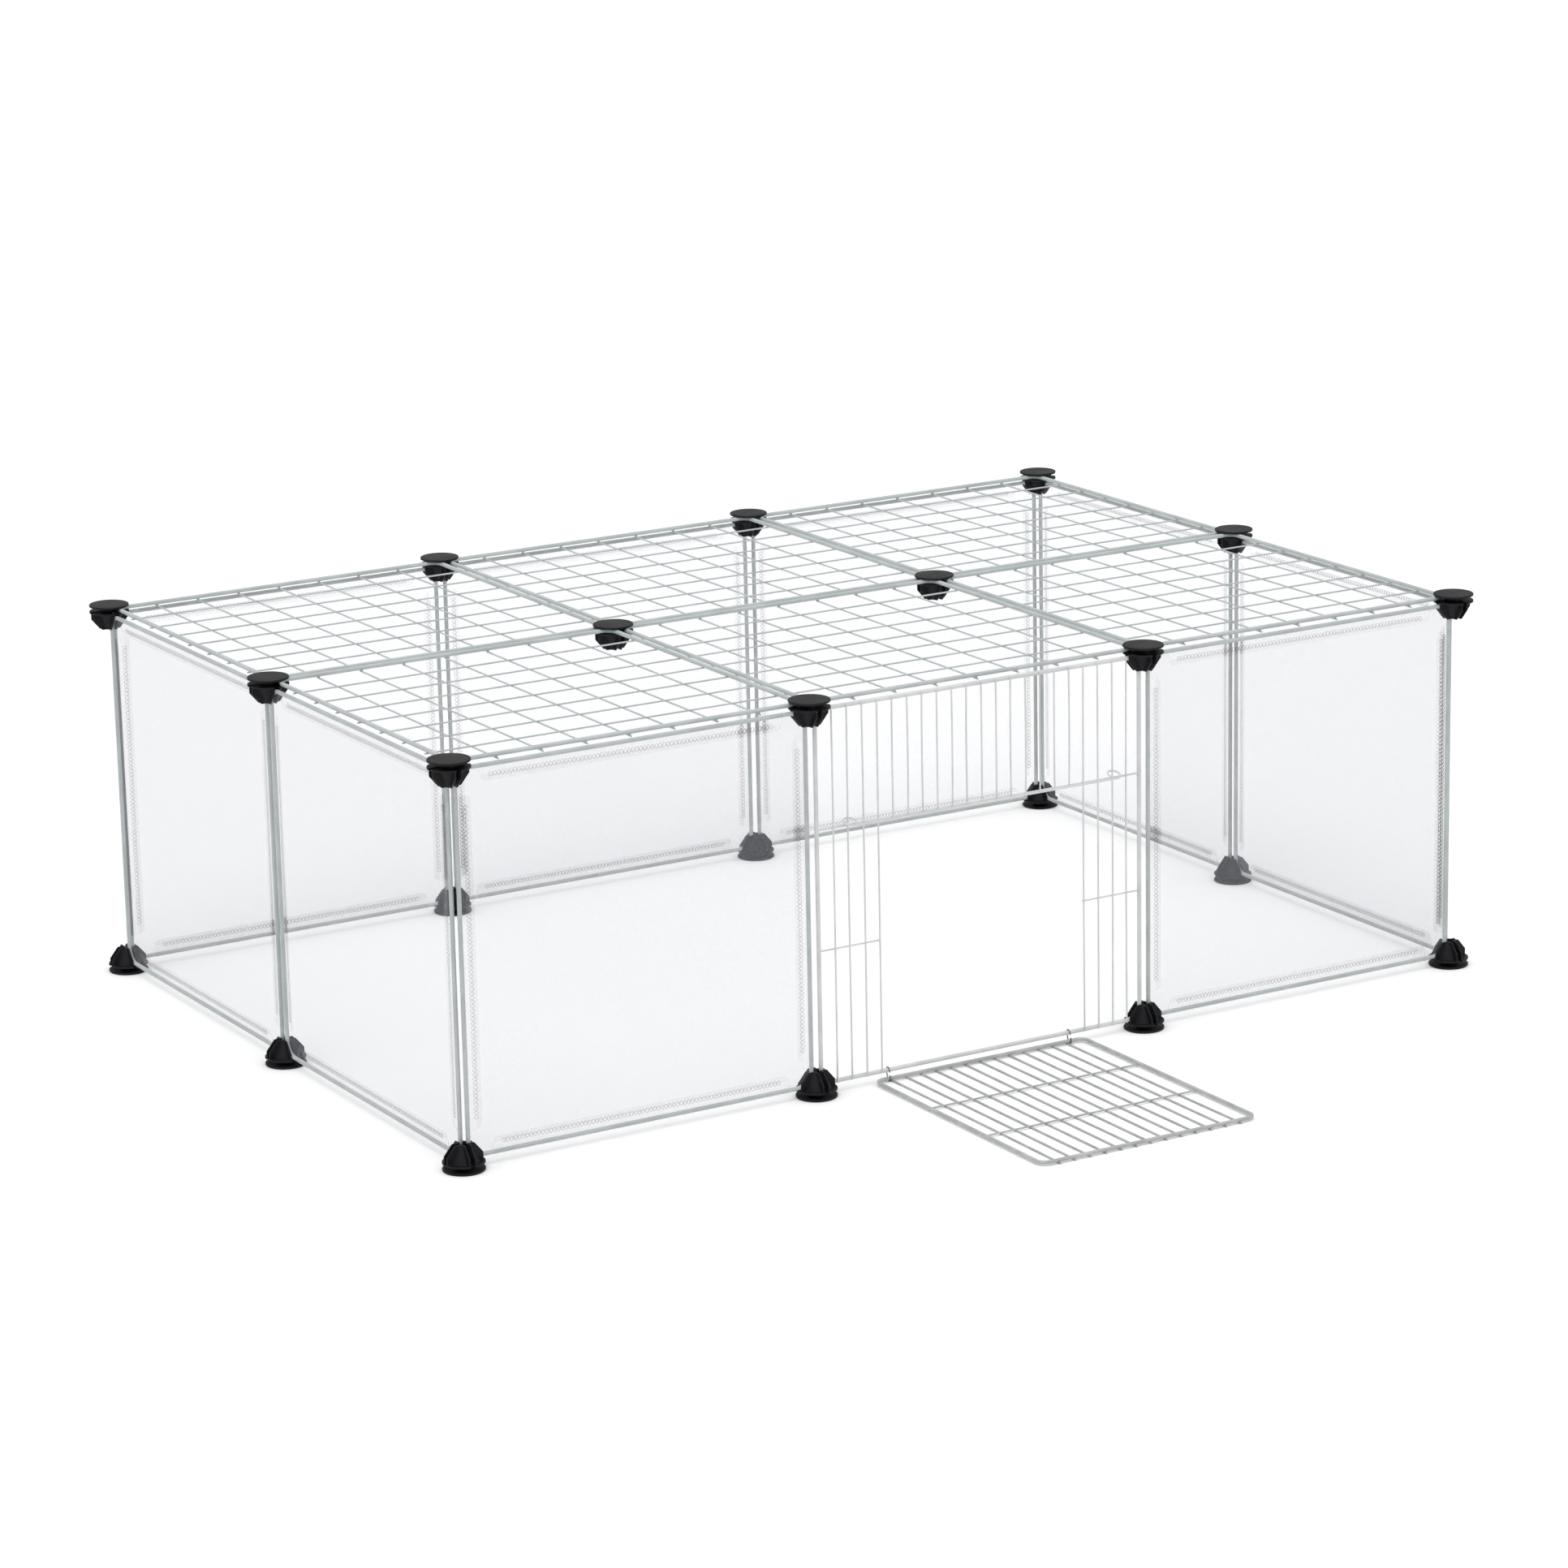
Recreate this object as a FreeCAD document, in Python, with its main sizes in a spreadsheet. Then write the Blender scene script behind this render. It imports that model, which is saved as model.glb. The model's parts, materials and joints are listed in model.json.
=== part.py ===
import FreeCAD, Part

import math
import os

import Sketcher
from FreeCAD import Placement, Rotation, Vector

# Clip-together small-animal pen, three modules long, two deep and one high.
# Square wire-framed panels stand on a square grid and are held at the grid corners by moulded
# connectors.  The front middle panel has a doorway, a drop-down door on two wire rings, and a
# latch bar that slides up and down two of the uprights.
#
# +X runs along the front, +Y from the front to the back, +Z up.  The origin is the middle of the
# whole outline on the floor, the open door included.

DIMENSIONS = (
    ("pitch", 356.0, "grid spacing, connector axis to connector axis"),
    ("panel_side", 346.0, "panel frame, wire centre to wire centre"),
    ("corner_radius", 15.0, "bend of the panel frame wire at its centre line"),
    ("frame_wire", 2.0, "radius of the panel frame wire"),
    ("thin_wire", 0.8, "radius of the mesh wires"),
    ("weld_sink", 0.4, "depth to which a mesh wire is welded into another wire"),
    ("mesh_cells", 8.0, "mesh cells along each side of a roof grid"),
    ("grid_overhang", 1.3, "mesh wire end beyond the frame wire of a roof grid"),
    ("disc_radius", 19.0, "connector disc and flange"),
    ("disc_bevel", 0.6, "bevel round the outer face of the disc"),
    ("disc_height", 2.0, "thickness of the connector disc"),
    ("roof_slot", 4.5, "height of the slot between disc and flange"),
    ("post_radius", 8.0, "post that joins the disc to the flange"),
    ("flange_height", 1.5, "thickness of the flange"),
    ("fin_radius", 17.6, "connector fins below the flange"),
    ("fin_straight", 6.0, "straight part of the fins"),
    ("fin_tip_radius", 9.2, "connector fins at their end"),
    ("fin_thickness", 1.4, "one fin"),
    ("web_radius", 13.5, "web between two fins, at the flange"),
    ("web_tip_radius", 6.4, "web between two fins, at its end"),
    ("connector_height", 24.0, "whole connector"),
    ("wall_slot", 4.2, "width of the slots that hold the wall panels"),
    ("edge_drop", 10.6, "wall frame wire centre below the connector's outer face"),
    ("film_thickness", 0.5, "plastic film"),
    ("sleeve_gap", 0.05, "play between film sleeve and frame wire"),
    ("sleeve_start", 24.0, "bare wire from the corner of the frame to the film sleeve"),
    ("film_corner", 16.0, "cut across the corners of the film"),
    ("upright_spaces", 22.0, "spaces between the uprights of the door panel"),
    ("upright_end", 1.5, "upright beyond the centre of the frame wire"),
    ("crossbar", 1.0, "radius of the crossbar over the doorway"),
    ("crossbar_level", 236.0, "crossbar above the bottom wire"),
    ("side_cross_level", 124.0, "short cross wires beside the doorway, above the bottom wire"),
    ("doorway_first", 4.0, "upright at the left of the doorway"),
    ("doorway_last", 18.0, "upright at the right of the doorway"),
    ("door_wire", 1.75, "radius of the door's frame wire"),
    ("door_width", 226.0, "door frame, wire centre to wire centre"),
    ("door_length", 272.0, "door frame from hinge wire to free edge, wire centres"),
    ("door_corner", 9.0, "bend of the door's frame wire at its centre line"),
    ("door_shift", -4.5, "door's middle from the middle of its panel"),
    ("door_wires", 13.0, "long wires of the door"),
    ("door_wire_step", 15.9, "spacing of the door's long wires"),
    ("door_overhang", 1.4, "long wire end beyond the door's frame wire"),
    ("hinge_reach", 2.0, "door's hinge wire in front of the panel's bottom wire"),
    ("ring_wire", 0.5, "radius of the hinge ring's wire"),
    ("ring_bend", 2.6, "bend of the hinge ring at its centre line"),
    ("ring_length", 7.6, "distance between the hinge ring's two bends"),
    ("ring_opening", 2.4, "gap between the ends of a hinge ring"),
    ("ring_spacing", 98.1, "hinge ring from the middle of the door"),
    ("latch_wire", 0.8, "radius of the latch bar's wire"),
    ("latch_standoff", 11.7, "latch bar in front of the panel frame"),
    ("latch_loop", 6.0, "radius of a latch loop at its centre line"),
    ("latch_turn", 330.0, "turn of a latch loop in degrees"),
    ("latch_play", 0.05, "latch loop above the crossbar at rest"),
    ("latch_first", 2.0, "upright that the left latch loop rides on"),
    ("latch_last", 20.0, "upright that the right latch loop rides on"),
)

COLUMNS = 3
ROWS = 2
ROW_NAMES = ("front", "middle", "back")

doc = FreeCAD.newDocument("WirePen")
sheet = doc.addObject("Spreadsheet::Sheet", "Sizes")
for line, (alias, number, meaning) in enumerate(DIMENSIONS, start=1):
    sheet.set(f"A{line}", meaning)
    sheet.set(f"B{line}", str(number))
    sheet.setAlias(f"B{line}", alias)
doc.recompute()

size = {alias: float(sheet.get(alias)) for alias, number, meaning in DIMENSIONS}
sub_parts = []

X_AXIS = Vector(1, 0, 0)
Y_AXIS = Vector(0, 1, 0)
Z_AXIS = Vector(0, 0, 1)
ALONG_X = Rotation(Z_AXIS, X_AXIS)
ALONG_Y = Rotation(Z_AXIS, Y_AXIS)
STRAIGHT_UP = Rotation()


def bound(text):
    """The expression with each dimension's alias read from the sheet."""
    words = text.replace("(", " ( ").replace(")", " ) ").split()
    return " ".join(f"Sizes.{word}" if word in size else word for word in words)


def bind(feature, path, text):
    """Bind one property of a feature to an expression of the sheet's aliases."""
    feature.setExpression(path, bound(text))


def number_of(text):
    """The present value of an expression of the sheet's aliases."""
    return float(sheet.evalExpression(bound(text)))


def place(feature, where, turn=STRAIGHT_UP):
    """Turn a primitive and bind its position to three expressions."""
    feature.Placement = Placement(Vector(), turn)
    for letter, text in zip("xyz", where):
        bind(feature, f"Placement.Base.{letter}", text)


def rod(name, radius, length, start, turn):
    """Straight wire of one radius from its start point."""
    wire = doc.addObject("Part::Cylinder", name)
    bind(wire, "Radius", radius)
    bind(wire, "Height", length)
    place(wire, start, turn)
    return wire


def bend(name, bend_radius, radius, angle, centre, turn):
    """Bent wire: part of a torus about its local Z axis."""
    wire = doc.addObject("Part::Torus", name)
    bind(wire, "Radius1", bend_radius)
    bind(wire, "Radius2", radius)
    bind(wire, "Angle3", angle)
    place(wire, centre, turn)
    return wire


def rounded_ring(name, width, length, corner, radius):
    """Wires and bends of a rounded rectangular ring about the origin, in the XY plane.

    The left and right wires' seam lines face out of the ring, clear of wires that butt into them.
    """
    pieces = []
    straight_x = f"{width} - 2 * {corner}"
    straight_y = f"{length} - 2 * {corner}"
    for side, sign in (("front", "-"), ("back", "")):
        start = (f"{corner} - {width} / 2", f"{sign} {length} / 2", "0")
        pieces.append(rod(f"{name}_{side}", radius, straight_x, start, ALONG_X))
    for side, sign, seam_angle in (("left", "-", 180), ("right", "", 0)):
        start = (f"{sign} {width} / 2", f"{corner} - {length} / 2", "0")
        turn = ALONG_Y * Rotation(Z_AXIS, seam_angle)
        pieces.append(rod(f"{name}_{side}", radius, straight_y, start, turn))
    for quarter, (sign_x, sign_y) in enumerate((("", ""), ("-", ""), ("-", "-"), ("", "-"))):
        centre = (f"{sign_x} ( {width} / 2 - {corner} )", f"{sign_y} ( {length} / 2 - {corner} )", "0")
        turn = Rotation(Z_AXIS, 90 * quarter)
        pieces.append(bend(f"{name}_bend_{quarter}", corner, radius, "90", centre, turn))
    return pieces


def weld(label, pieces, placement):
    """Fuse the wires of one welded sub-part and put it where it belongs."""
    fused = doc.addObject("Part::MultiFuse", label)
    fused.Label = label
    fused.Shapes = pieces
    fused.Refine = False
    fused.Placement = placement
    sub_parts.append(fused)
    return fused


def origin_plane(body, role):
    """The body's own origin plane of the given role."""
    return next(item for item in body.Origin.OriginFeatures if item.Role == role)


def new_sketch(body, role, name, level="0"):
    """Sketch on one of the body's origin planes, raised along the plane's normal."""
    sketch = body.newObject("Sketcher::SketchObject", name)
    sketch.AttachmentSupport = (origin_plane(body, role), [""])
    sketch.MapMode = "FlatFace"
    bind(sketch, "AttachmentOffset.Base.z", level)
    return sketch


def fix_point(sketch, edge, end, x, y, name):
    """Dimension one point of a sketch from the sketch's origin."""
    for letter, text, kind in (("x", x, "DistanceX"), ("y", y, "DistanceY")):
        index = sketch.addConstraint(Sketcher.Constraint(kind, -1, 1, edge, end, number_of(text)))
        sketch.renameConstraint(index, f"{name}_{letter}")
        bind(sketch, f"Constraints.{name}_{letter}", text)


def draw_outline(sketch, corners):
    """Closed polygon whose corners are pairs of expressions."""
    points = [Vector(number_of(x), number_of(y), 0) for x, y in corners]
    first = sketch.GeometryCount
    count = len(points)
    for index in range(count):
        sketch.addGeometry(Part.LineSegment(points[index], points[(index + 1) % count]), False)
    for index in range(count):
        joined = first + (index + 1) % count
        sketch.addConstraint(Sketcher.Constraint("Coincident", first + index, 2, joined, 1))
    for index, (x, y) in enumerate(corners):
        fix_point(sketch, first + index, 1, x, y, f"corner_{first + index}")


def draw_circle(sketch, x, y, radius, name):
    """Circle with a dimensioned centre and radius."""
    centre = Vector(number_of(x), number_of(y), 0)
    edge = sketch.addGeometry(Part.Circle(centre, Z_AXIS, number_of(radius)), False)
    index = sketch.addConstraint(Sketcher.Constraint("Radius", edge, number_of(radius)))
    sketch.renameConstraint(index, f"{name}_radius")
    bind(sketch, f"Constraints.{name}_radius", radius)
    fix_point(sketch, edge, 3, x, y, name)


def pad(body, sketch, name, length):
    """Pad a sketch half to each side of its plane."""
    feature = body.newObject("PartDesign::Pad", name)
    feature.Profile = sketch
    feature.SideType = "Symmetric"
    bind(feature, "Length", length)
    sketch.Visibility = False
    return feature


def new_body(label, placement):
    """Empty body of one moulded sub-part."""
    body = doc.addObject("PartDesign::Body", label)
    body.Label = label
    body.Placement = placement
    sub_parts.append(body)
    return body


def connector(label, placement):
    """Moulded connector: disc, slot for the roof grids, flange, and eight fins round a cross slot.

    The disc's outer face is at z = 0 and the fins end at the connector's height.
    """
    body = new_body(label, placement)
    flange_under = "disc_height + roof_slot"
    flange_top = f"{flange_under} + flange_height"
    spindle = new_sketch(body, "XZ_Plane", f"{label}_spindle")
    draw_outline(spindle, (
        ("0", "0"),
        ("disc_radius - disc_bevel", "0"),
        ("disc_radius", "disc_bevel"),
        ("disc_radius", "disc_height"),
        ("post_radius", "disc_height"),
        ("post_radius", flange_under),
        ("disc_radius", flange_under),
        ("disc_radius", flange_top),
        ("web_radius", flange_top),
        ("web_tip_radius", "connector_height"),
        ("0", "connector_height"),
    ))
    turned = body.newObject("PartDesign::Revolution", f"{label}_turned")
    turned.Profile = spindle
    turned.ReferenceAxis = (spindle, ["V_Axis"])
    turned.Angle = 360.0
    spindle.Visibility = False

    fin_shoulder = f"{flange_top} + fin_straight"
    for role in ("XZ_Plane", "YZ_Plane"):
        fins = new_sketch(body, role, f"{label}_fins_{role[:2]}")
        draw_outline(fins, (
            ("fin_radius", flange_under),
            ("fin_radius", fin_shoulder),
            ("fin_tip_radius", "connector_height"),
            ("- fin_tip_radius", "connector_height"),
            ("- fin_radius", fin_shoulder),
            ("- fin_radius", flange_under),
        ))
        pad(body, fins, f"{label}_fin_pad_{role[:2]}", "wall_slot + 2 * fin_thickness")

    cross = new_sketch(body, "XY_Plane", f"{label}_cross", "connector_height")
    arm = "disc_radius + 1"
    half = "wall_slot / 2"
    draw_outline(cross, (
        (arm, f"- {half}"), (arm, half), (half, half),
        (half, arm), (f"- {half}", arm), (f"- {half}", half),
        (f"- ( {arm} )", half), (f"- ( {arm} )", f"- {half}"), (f"- {half}", f"- {half}"),
        (f"- {half}", f"- ( {arm} )"), (half, f"- ( {arm} )"), (half, f"- {half}"),
    ))
    slots = body.newObject("PartDesign::Pocket", f"{label}_slots")
    slots.Profile = cross
    bind(slots, "Length", f"connector_height - ( {flange_under} )")
    cross.Visibility = False
    return body


def roof_grid(label, placement):
    """Roof grid: frame ring with crossing mesh wires welded under it."""
    pieces = rounded_ring(label, "panel_side", "panel_side", "corner_radius", "frame_wire")
    reach = "frame_wire + grid_overhang"
    length = f"panel_side + 2 * ( {reach} )"
    start = f"- panel_side / 2 - ( {reach} )"
    upper_level = "weld_sink - frame_wire - thin_wire"
    lower_level = f"{upper_level} - 2 * thin_wire + 1.25 * weld_sink"
    for index in range(1, round(size["mesh_cells"])):
        across = f"panel_side * ( {index} / mesh_cells - 1 / 2 )"
        name = f"{label}_wire_{index}"
        pieces.append(rod(f"{name}_x", "thin_wire", length, (start, across, upper_level), ALONG_X))
        pieces.append(rod(f"{name}_y", "thin_wire", length, (across, start, lower_level), ALONG_Y))
    return weld(label, pieces, placement)


def wall_frame(label, placement):
    """Frame ring of a film wall panel."""
    pieces = rounded_ring(label, "panel_side", "panel_side", "corner_radius", "frame_wire")
    return weld(label, pieces, placement)


def wall_film(label, placement):
    """Film of a wall panel: a sheet with four sleeves round the frame wire."""
    body = new_body(label, placement)
    edge = "( panel_side / 2 - frame_wire - sleeve_gap - film_thickness / 2 )"
    short = f"( {edge} - film_corner )"
    sheet_outline = new_sketch(body, "XY_Plane", f"{label}_outline")
    draw_outline(sheet_outline, (
        (edge, short), (short, edge), (f"- {short}", edge), (f"- {edge}", short),
        (f"- {edge}", f"- {short}"), (f"- {short}", f"- {edge}"), (short, f"- {edge}"), (edge, f"- {short}"),
    ))
    pad(body, sheet_outline, f"{label}_sheet", "film_thickness")
    for role in ("XZ_Plane", "YZ_Plane"):
        sleeves = new_sketch(body, role, f"{label}_hem_{role[:2]}")
        for side, sign in (("low", "-"), ("high", "")):
            bore = "frame_wire + sleeve_gap"
            draw_circle(sleeves, f"{sign} panel_side / 2", "0", bore, f"{side}_bore")
            draw_circle(sleeves, f"{sign} panel_side / 2", "0", f"{bore} + film_thickness", f"{side}_skin")
        pad(body, sleeves, f"{label}_hem_pad_{role[:2]}", "panel_side - 2 * sleeve_start")
    return body


def upright_place(index):
    """Upright's X position in its panel, counted from the left frame wire."""
    return f"panel_side * ( {index} / upright_spaces - 1 / 2 )"


def door_panel(label, placement):
    """Front panel with the doorway: frame ring, uprights, crossbar and two short cross wires.

    The uprights are on the outer side of the frame, the cross wires behind the uprights.
    """
    pieces = rounded_ring(label, "panel_side", "panel_side", "corner_radius", "frame_wire")
    face = "( frame_wire + thin_wire - weld_sink )"
    bottom = "- panel_side / 2"
    first = round(size["doorway_first"])
    last = round(size["doorway_last"])
    for index in range(1, round(size["upright_spaces"])):
        foot = f"{bottom} - upright_end"
        if first < index < last:
            foot = f"{bottom} + crossbar_level - upright_end"
        length = f"panel_side / 2 + upright_end - ( {foot} )"
        start = (upright_place(index), foot, face)
        pieces.append(rod(f"{label}_upright_{index}", "thin_wire", length, start, ALONG_Y))
    bar_level = f"{face} - thin_wire - crossbar + weld_sink"
    bar_start = ("- panel_side / 2", f"{bottom} + crossbar_level", bar_level)
    pieces.append(rod(f"{label}_crossbar", "crossbar", "panel_side", bar_start, ALONG_X))
    cross_level = f"{face} - 2 * thin_wire + weld_sink"
    cross_height = f"{bottom} + side_cross_level"
    to_doorway = "panel_side * doorway_first / upright_spaces + upright_end"
    from_doorway = "panel_side * ( 1 - doorway_last / upright_spaces ) + upright_end"
    left_start = ("- panel_side / 2", cross_height, cross_level)
    right_start = (f"{upright_place('doorway_last')} - upright_end", cross_height, cross_level)
    pieces.append(rod(f"{label}_cross_left", "thin_wire", to_doorway, left_start, ALONG_X))
    pieces.append(rod(f"{label}_cross_right", "thin_wire", from_doorway, right_start, ALONG_X))
    return weld(label, pieces, placement)


def door(label, placement):
    """Door: frame ring with long wires welded under it and two cross wires on those."""
    pieces = rounded_ring(label, "door_width", "door_length", "door_corner", "door_wire")
    reach = "( door_wire + door_overhang )"
    low = "( weld_sink - door_wire - thin_wire )"
    start = f"- door_length / 2 - {reach}"
    length = f"door_length + 2 * {reach}"
    for index in range(round(size["door_wires"])):
        across = f"door_wire_step * ( {index} - ( door_wires - 1 ) / 2 )"
        pieces.append(rod(f"{label}_wire_{index}", "thin_wire", length, (across, start, low), ALONG_Y))
    for third in (1, 2):
        across = f"door_length * ( {third} / 3 - 1 / 2 )"
        level = f"{low} + 2 * thin_wire - weld_sink"
        place_at = ("- door_width / 2", across, level)
        pieces.append(rod(f"{label}_cross_{third}", "thin_wire", "door_width", place_at, ALONG_X))
    return weld(label, pieces, placement)


def hinge_ring(label, placement):
    """Open wire ring that hangs from the panel's bottom wire and carries the door's hinge wire.

    The upper bend is about the origin and the lower bend straight below it; the ring opens in
    the middle of its front side.
    """
    flat = Rotation(Y_AXIS, 90)
    stub = "( ( ring_length - ring_opening ) / 2 )"
    upper_turn = flat * Rotation(Z_AXIS, 90)
    lower_turn = Rotation(X_AXIS, 180) * upper_turn
    pieces = [
        bend(f"{label}_upper", "ring_bend", "ring_wire", "180", ("0", "0", "0"), upper_turn),
        bend(f"{label}_lower", "ring_bend", "ring_wire", "180", ("0", "0", "- ring_length"), lower_turn),
        rod(f"{label}_back", "ring_wire", "ring_length", ("0", "ring_bend", "- ring_length"), STRAIGHT_UP),
        rod(f"{label}_end_low", "ring_wire", stub, ("0", "- ring_bend", "- ring_length"), STRAIGHT_UP),
        rod(f"{label}_end_high", "ring_wire", stub, ("0", "- ring_bend", f"- {stub}"), STRAIGHT_UP),
    ]
    return weld(label, pieces, placement)


def latch_bar(label, placement):
    """Latch: a straight bar with a loop at each end round one upright of the door panel."""
    depth = "- latch_standoff"
    loop_depth = "latch_loop - latch_standoff"
    left = upright_place("latch_first")
    right = upright_place("latch_last")
    opening = 360 - size["latch_turn"]
    left_turn = Rotation(Z_AXIS, opening - 90)
    right_turn = Rotation(Z_AXIS, -90)
    pieces = [
        rod(f"{label}_rod", "latch_wire", f"{right} - ( {left} )", (left, depth, "0"), ALONG_X),
        bend(f"{label}_loop_left", "latch_loop", "latch_wire", "latch_turn", (left, loop_depth, "0"), left_turn),
        bend(f"{label}_loop_right", "latch_loop", "latch_wire", "latch_turn", (right, loop_depth, "0"), right_turn),
    ]
    return weld(label, pieces, placement)


# Grid lines of the pen.  The front row stands back from the middle of the outline, because the
# open door lies in front of it.
door_reach = size["hinge_reach"] + size["door_length"] + size["door_wire"] + size["door_overhang"]
front_row = (door_reach - ROWS * size["pitch"] - size["disc_radius"]) / 2
column_x = [size["pitch"] * (column - COLUMNS / 2) for column in range(COLUMNS + 1)]
row_y = [front_row + size["pitch"] * row for row in range(ROWS + 1)]
column_middle = [(left + right) / 2 for left, right in zip(column_x, column_x[1:])]
row_middle = [(front + back) / 2 for front, back in zip(row_y, row_y[1:])]

bottom_wire = size["edge_drop"]
pen_height = size["panel_side"] + 2 * size["edge_drop"]
roof_level = pen_height - size["disc_height"] - size["roof_slot"] / 2
wall_level = pen_height / 2

UPSIDE_DOWN = Rotation(X_AXIS, 180)
FACING_FRONT = Rotation(X_AXIS, 90)
FACING_BACK = Rotation(Z_AXIS, 180) * FACING_FRONT
FACING_LEFT = Rotation(Z_AXIS, -90) * FACING_FRONT
FACING_RIGHT = Rotation(Z_AXIS, 90) * FACING_FRONT

for row, row_name in enumerate(ROW_NAMES):
    for column, x in enumerate(column_x):
        name = f"{row_name}_{column + 1}"
        connector(f"top_connector_{name}", Placement(Vector(x, row_y[row], pen_height), UPSIDE_DOWN))
        on_outline = row in (0, ROWS) or column in (0, COLUMNS)
        if on_outline:
            connector(f"foot_connector_{name}", Placement(Vector(x, row_y[row], 0), STRAIGHT_UP))

for row, row_name in enumerate(("front", "back")):
    for column, x in enumerate(column_middle):
        centre = Vector(x, row_middle[row], roof_level)
        roof_grid(f"roof_grid_{row_name}_{column + 1}", Placement(centre, STRAIGHT_UP))

walls = {
    "front_left": Placement(Vector(column_middle[0], row_y[0], wall_level), FACING_FRONT),
    "front_right": Placement(Vector(column_middle[2], row_y[0], wall_level), FACING_FRONT),
    "left_front": Placement(Vector(column_x[0], row_middle[0], wall_level), FACING_LEFT),
    "left_back": Placement(Vector(column_x[0], row_middle[1], wall_level), FACING_LEFT),
    "right_front": Placement(Vector(column_x[-1], row_middle[0], wall_level), FACING_RIGHT),
    "right_back": Placement(Vector(column_x[-1], row_middle[1], wall_level), FACING_RIGHT),
    "back_left": Placement(Vector(column_middle[0], row_y[-1], wall_level), FACING_BACK),
    "back_middle": Placement(Vector(column_middle[1], row_y[-1], wall_level), FACING_BACK),
    "back_right": Placement(Vector(column_middle[2], row_y[-1], wall_level), FACING_BACK),
}
for wall_name, placement in walls.items():
    wall_frame(f"wall_frame_{wall_name}", placement)
    wall_film(f"wall_film_{wall_name}", placement)

panel_place = Placement(Vector(column_middle[1], row_y[0], wall_level), FACING_FRONT)
door_panel("door_panel", panel_place)

# The open door lies on its long wires; its frame wire is one weld above them.
door_level = 2 * size["thin_wire"] - size["weld_sink"] + size["door_wire"]
door_x = column_middle[1] + size["door_shift"]
hinge_y = row_y[0] - size["hinge_reach"]
door("door", Placement(Vector(door_x, hinge_y - size["door_length"] / 2, door_level), STRAIGHT_UP))

# Each ring hangs from the panel's bottom wire and leans forward to the door's hinge wire.
ring_lean = math.degrees(math.atan2(size["hinge_reach"], bottom_wire - door_level))
for side, sign in (("left", -1), ("right", 1)):
    ring_x = door_x + sign * size["ring_spacing"]
    ring_place = Placement(Vector(ring_x, row_y[0], bottom_wire), Rotation(X_AXIS, -ring_lean))
    hinge_ring(f"hinge_ring_{side}", ring_place)

# The latch loops rest on the crossbar.
latch_level = (
    bottom_wire + size["crossbar_level"] + size["crossbar"] + size["latch_wire"] + size["latch_play"]
)
latch_bar("latch_bar", Placement(Vector(column_middle[1], row_y[0], latch_level), STRAIGHT_UP))

doc.recompute()

for item in doc.Objects:
    if {"Invalid", "Error"} & set(item.State):
        raise RuntimeError(f"{item.Name} did not compute: {item.State}")

os.makedirs("parts", exist_ok=True)
for sub_part in sub_parts:
    shape = sub_part.Shape
    if shape.isNull() or not shape.isValid() or len(shape.Solids) != 1:
        raise RuntimeError(f"{sub_part.Label} is not one valid solid")
    shape.exportStep(f"parts/{sub_part.Label}.step")

outline = FreeCAD.BoundBox()
for sub_part in sub_parts:
    outline.add(sub_part.Shape.BoundBox)
print(f"{len(sub_parts)} sub-parts, outline {outline}")
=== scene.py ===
"""Looks of a clip-together wire pen for rabbits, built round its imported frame.

The pen is three modules long and two deep.  Moulded black connectors hold square panels: wire
grids on the roof, frosted film stretched on wire frames for the walls, and a front panel of bare
wires with a drop-down door on two wire rings and a sliding latch bar.
"""

import json
import logging
import math
from dataclasses import dataclass
from enum import Enum

import bpy
import numpy as np
from mathutils import Matrix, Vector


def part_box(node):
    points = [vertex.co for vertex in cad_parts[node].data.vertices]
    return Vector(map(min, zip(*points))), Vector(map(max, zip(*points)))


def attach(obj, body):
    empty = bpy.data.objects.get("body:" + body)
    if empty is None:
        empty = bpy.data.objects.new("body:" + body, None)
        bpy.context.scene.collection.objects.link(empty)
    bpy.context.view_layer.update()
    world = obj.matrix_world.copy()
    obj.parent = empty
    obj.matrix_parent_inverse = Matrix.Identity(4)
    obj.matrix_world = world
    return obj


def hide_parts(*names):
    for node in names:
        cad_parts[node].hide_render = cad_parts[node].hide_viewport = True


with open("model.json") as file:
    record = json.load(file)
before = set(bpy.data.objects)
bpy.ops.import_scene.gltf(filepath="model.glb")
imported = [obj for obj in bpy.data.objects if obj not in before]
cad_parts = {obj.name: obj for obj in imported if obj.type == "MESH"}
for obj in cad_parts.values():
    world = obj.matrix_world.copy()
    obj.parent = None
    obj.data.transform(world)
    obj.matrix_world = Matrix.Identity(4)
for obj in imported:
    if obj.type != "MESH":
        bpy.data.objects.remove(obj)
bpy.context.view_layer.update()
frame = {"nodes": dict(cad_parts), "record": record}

log = logging.getLogger("pen")

FRAME_WIRE_SIDES = 18
SHARP_ANGLE = math.radians(40)
NODE_BODY: dict[str, str] = {
    node: body for body, nodes in frame["record"]["behaviour"]["bodies"].items() for node in nodes
}


# ---------------------------------------------------------------------------------------------
# Surfaces: every shape is worked out as arrays of points and faces.
# ---------------------------------------------------------------------------------------------


@dataclass(frozen=True)
class Surface:
    """Points and faces of one part of a piece.

    points is an (n, 3) array, faces holds one integer array for each count of sides, and finish
    is the index of the material in the piece.
    """

    points: np.ndarray
    faces: tuple[np.ndarray, ...]
    finish: int = 0


@dataclass(frozen=True)
class Place:
    """A local frame: its origin and its three unit axes as the rows of a matrix."""

    origin: np.ndarray
    axes: np.ndarray

    def put(self, surface: Surface) -> Surface:
        """Return the surface moved from local to world coordinates."""
        return Surface(self.origin + surface.points @ self.axes, surface.faces, surface.finish)


def unit(vectors: np.ndarray) -> np.ndarray:
    """Return the vectors divided by their lengths."""
    return vectors / np.linalg.norm(vectors, axis=-1, keepdims=True)


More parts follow.
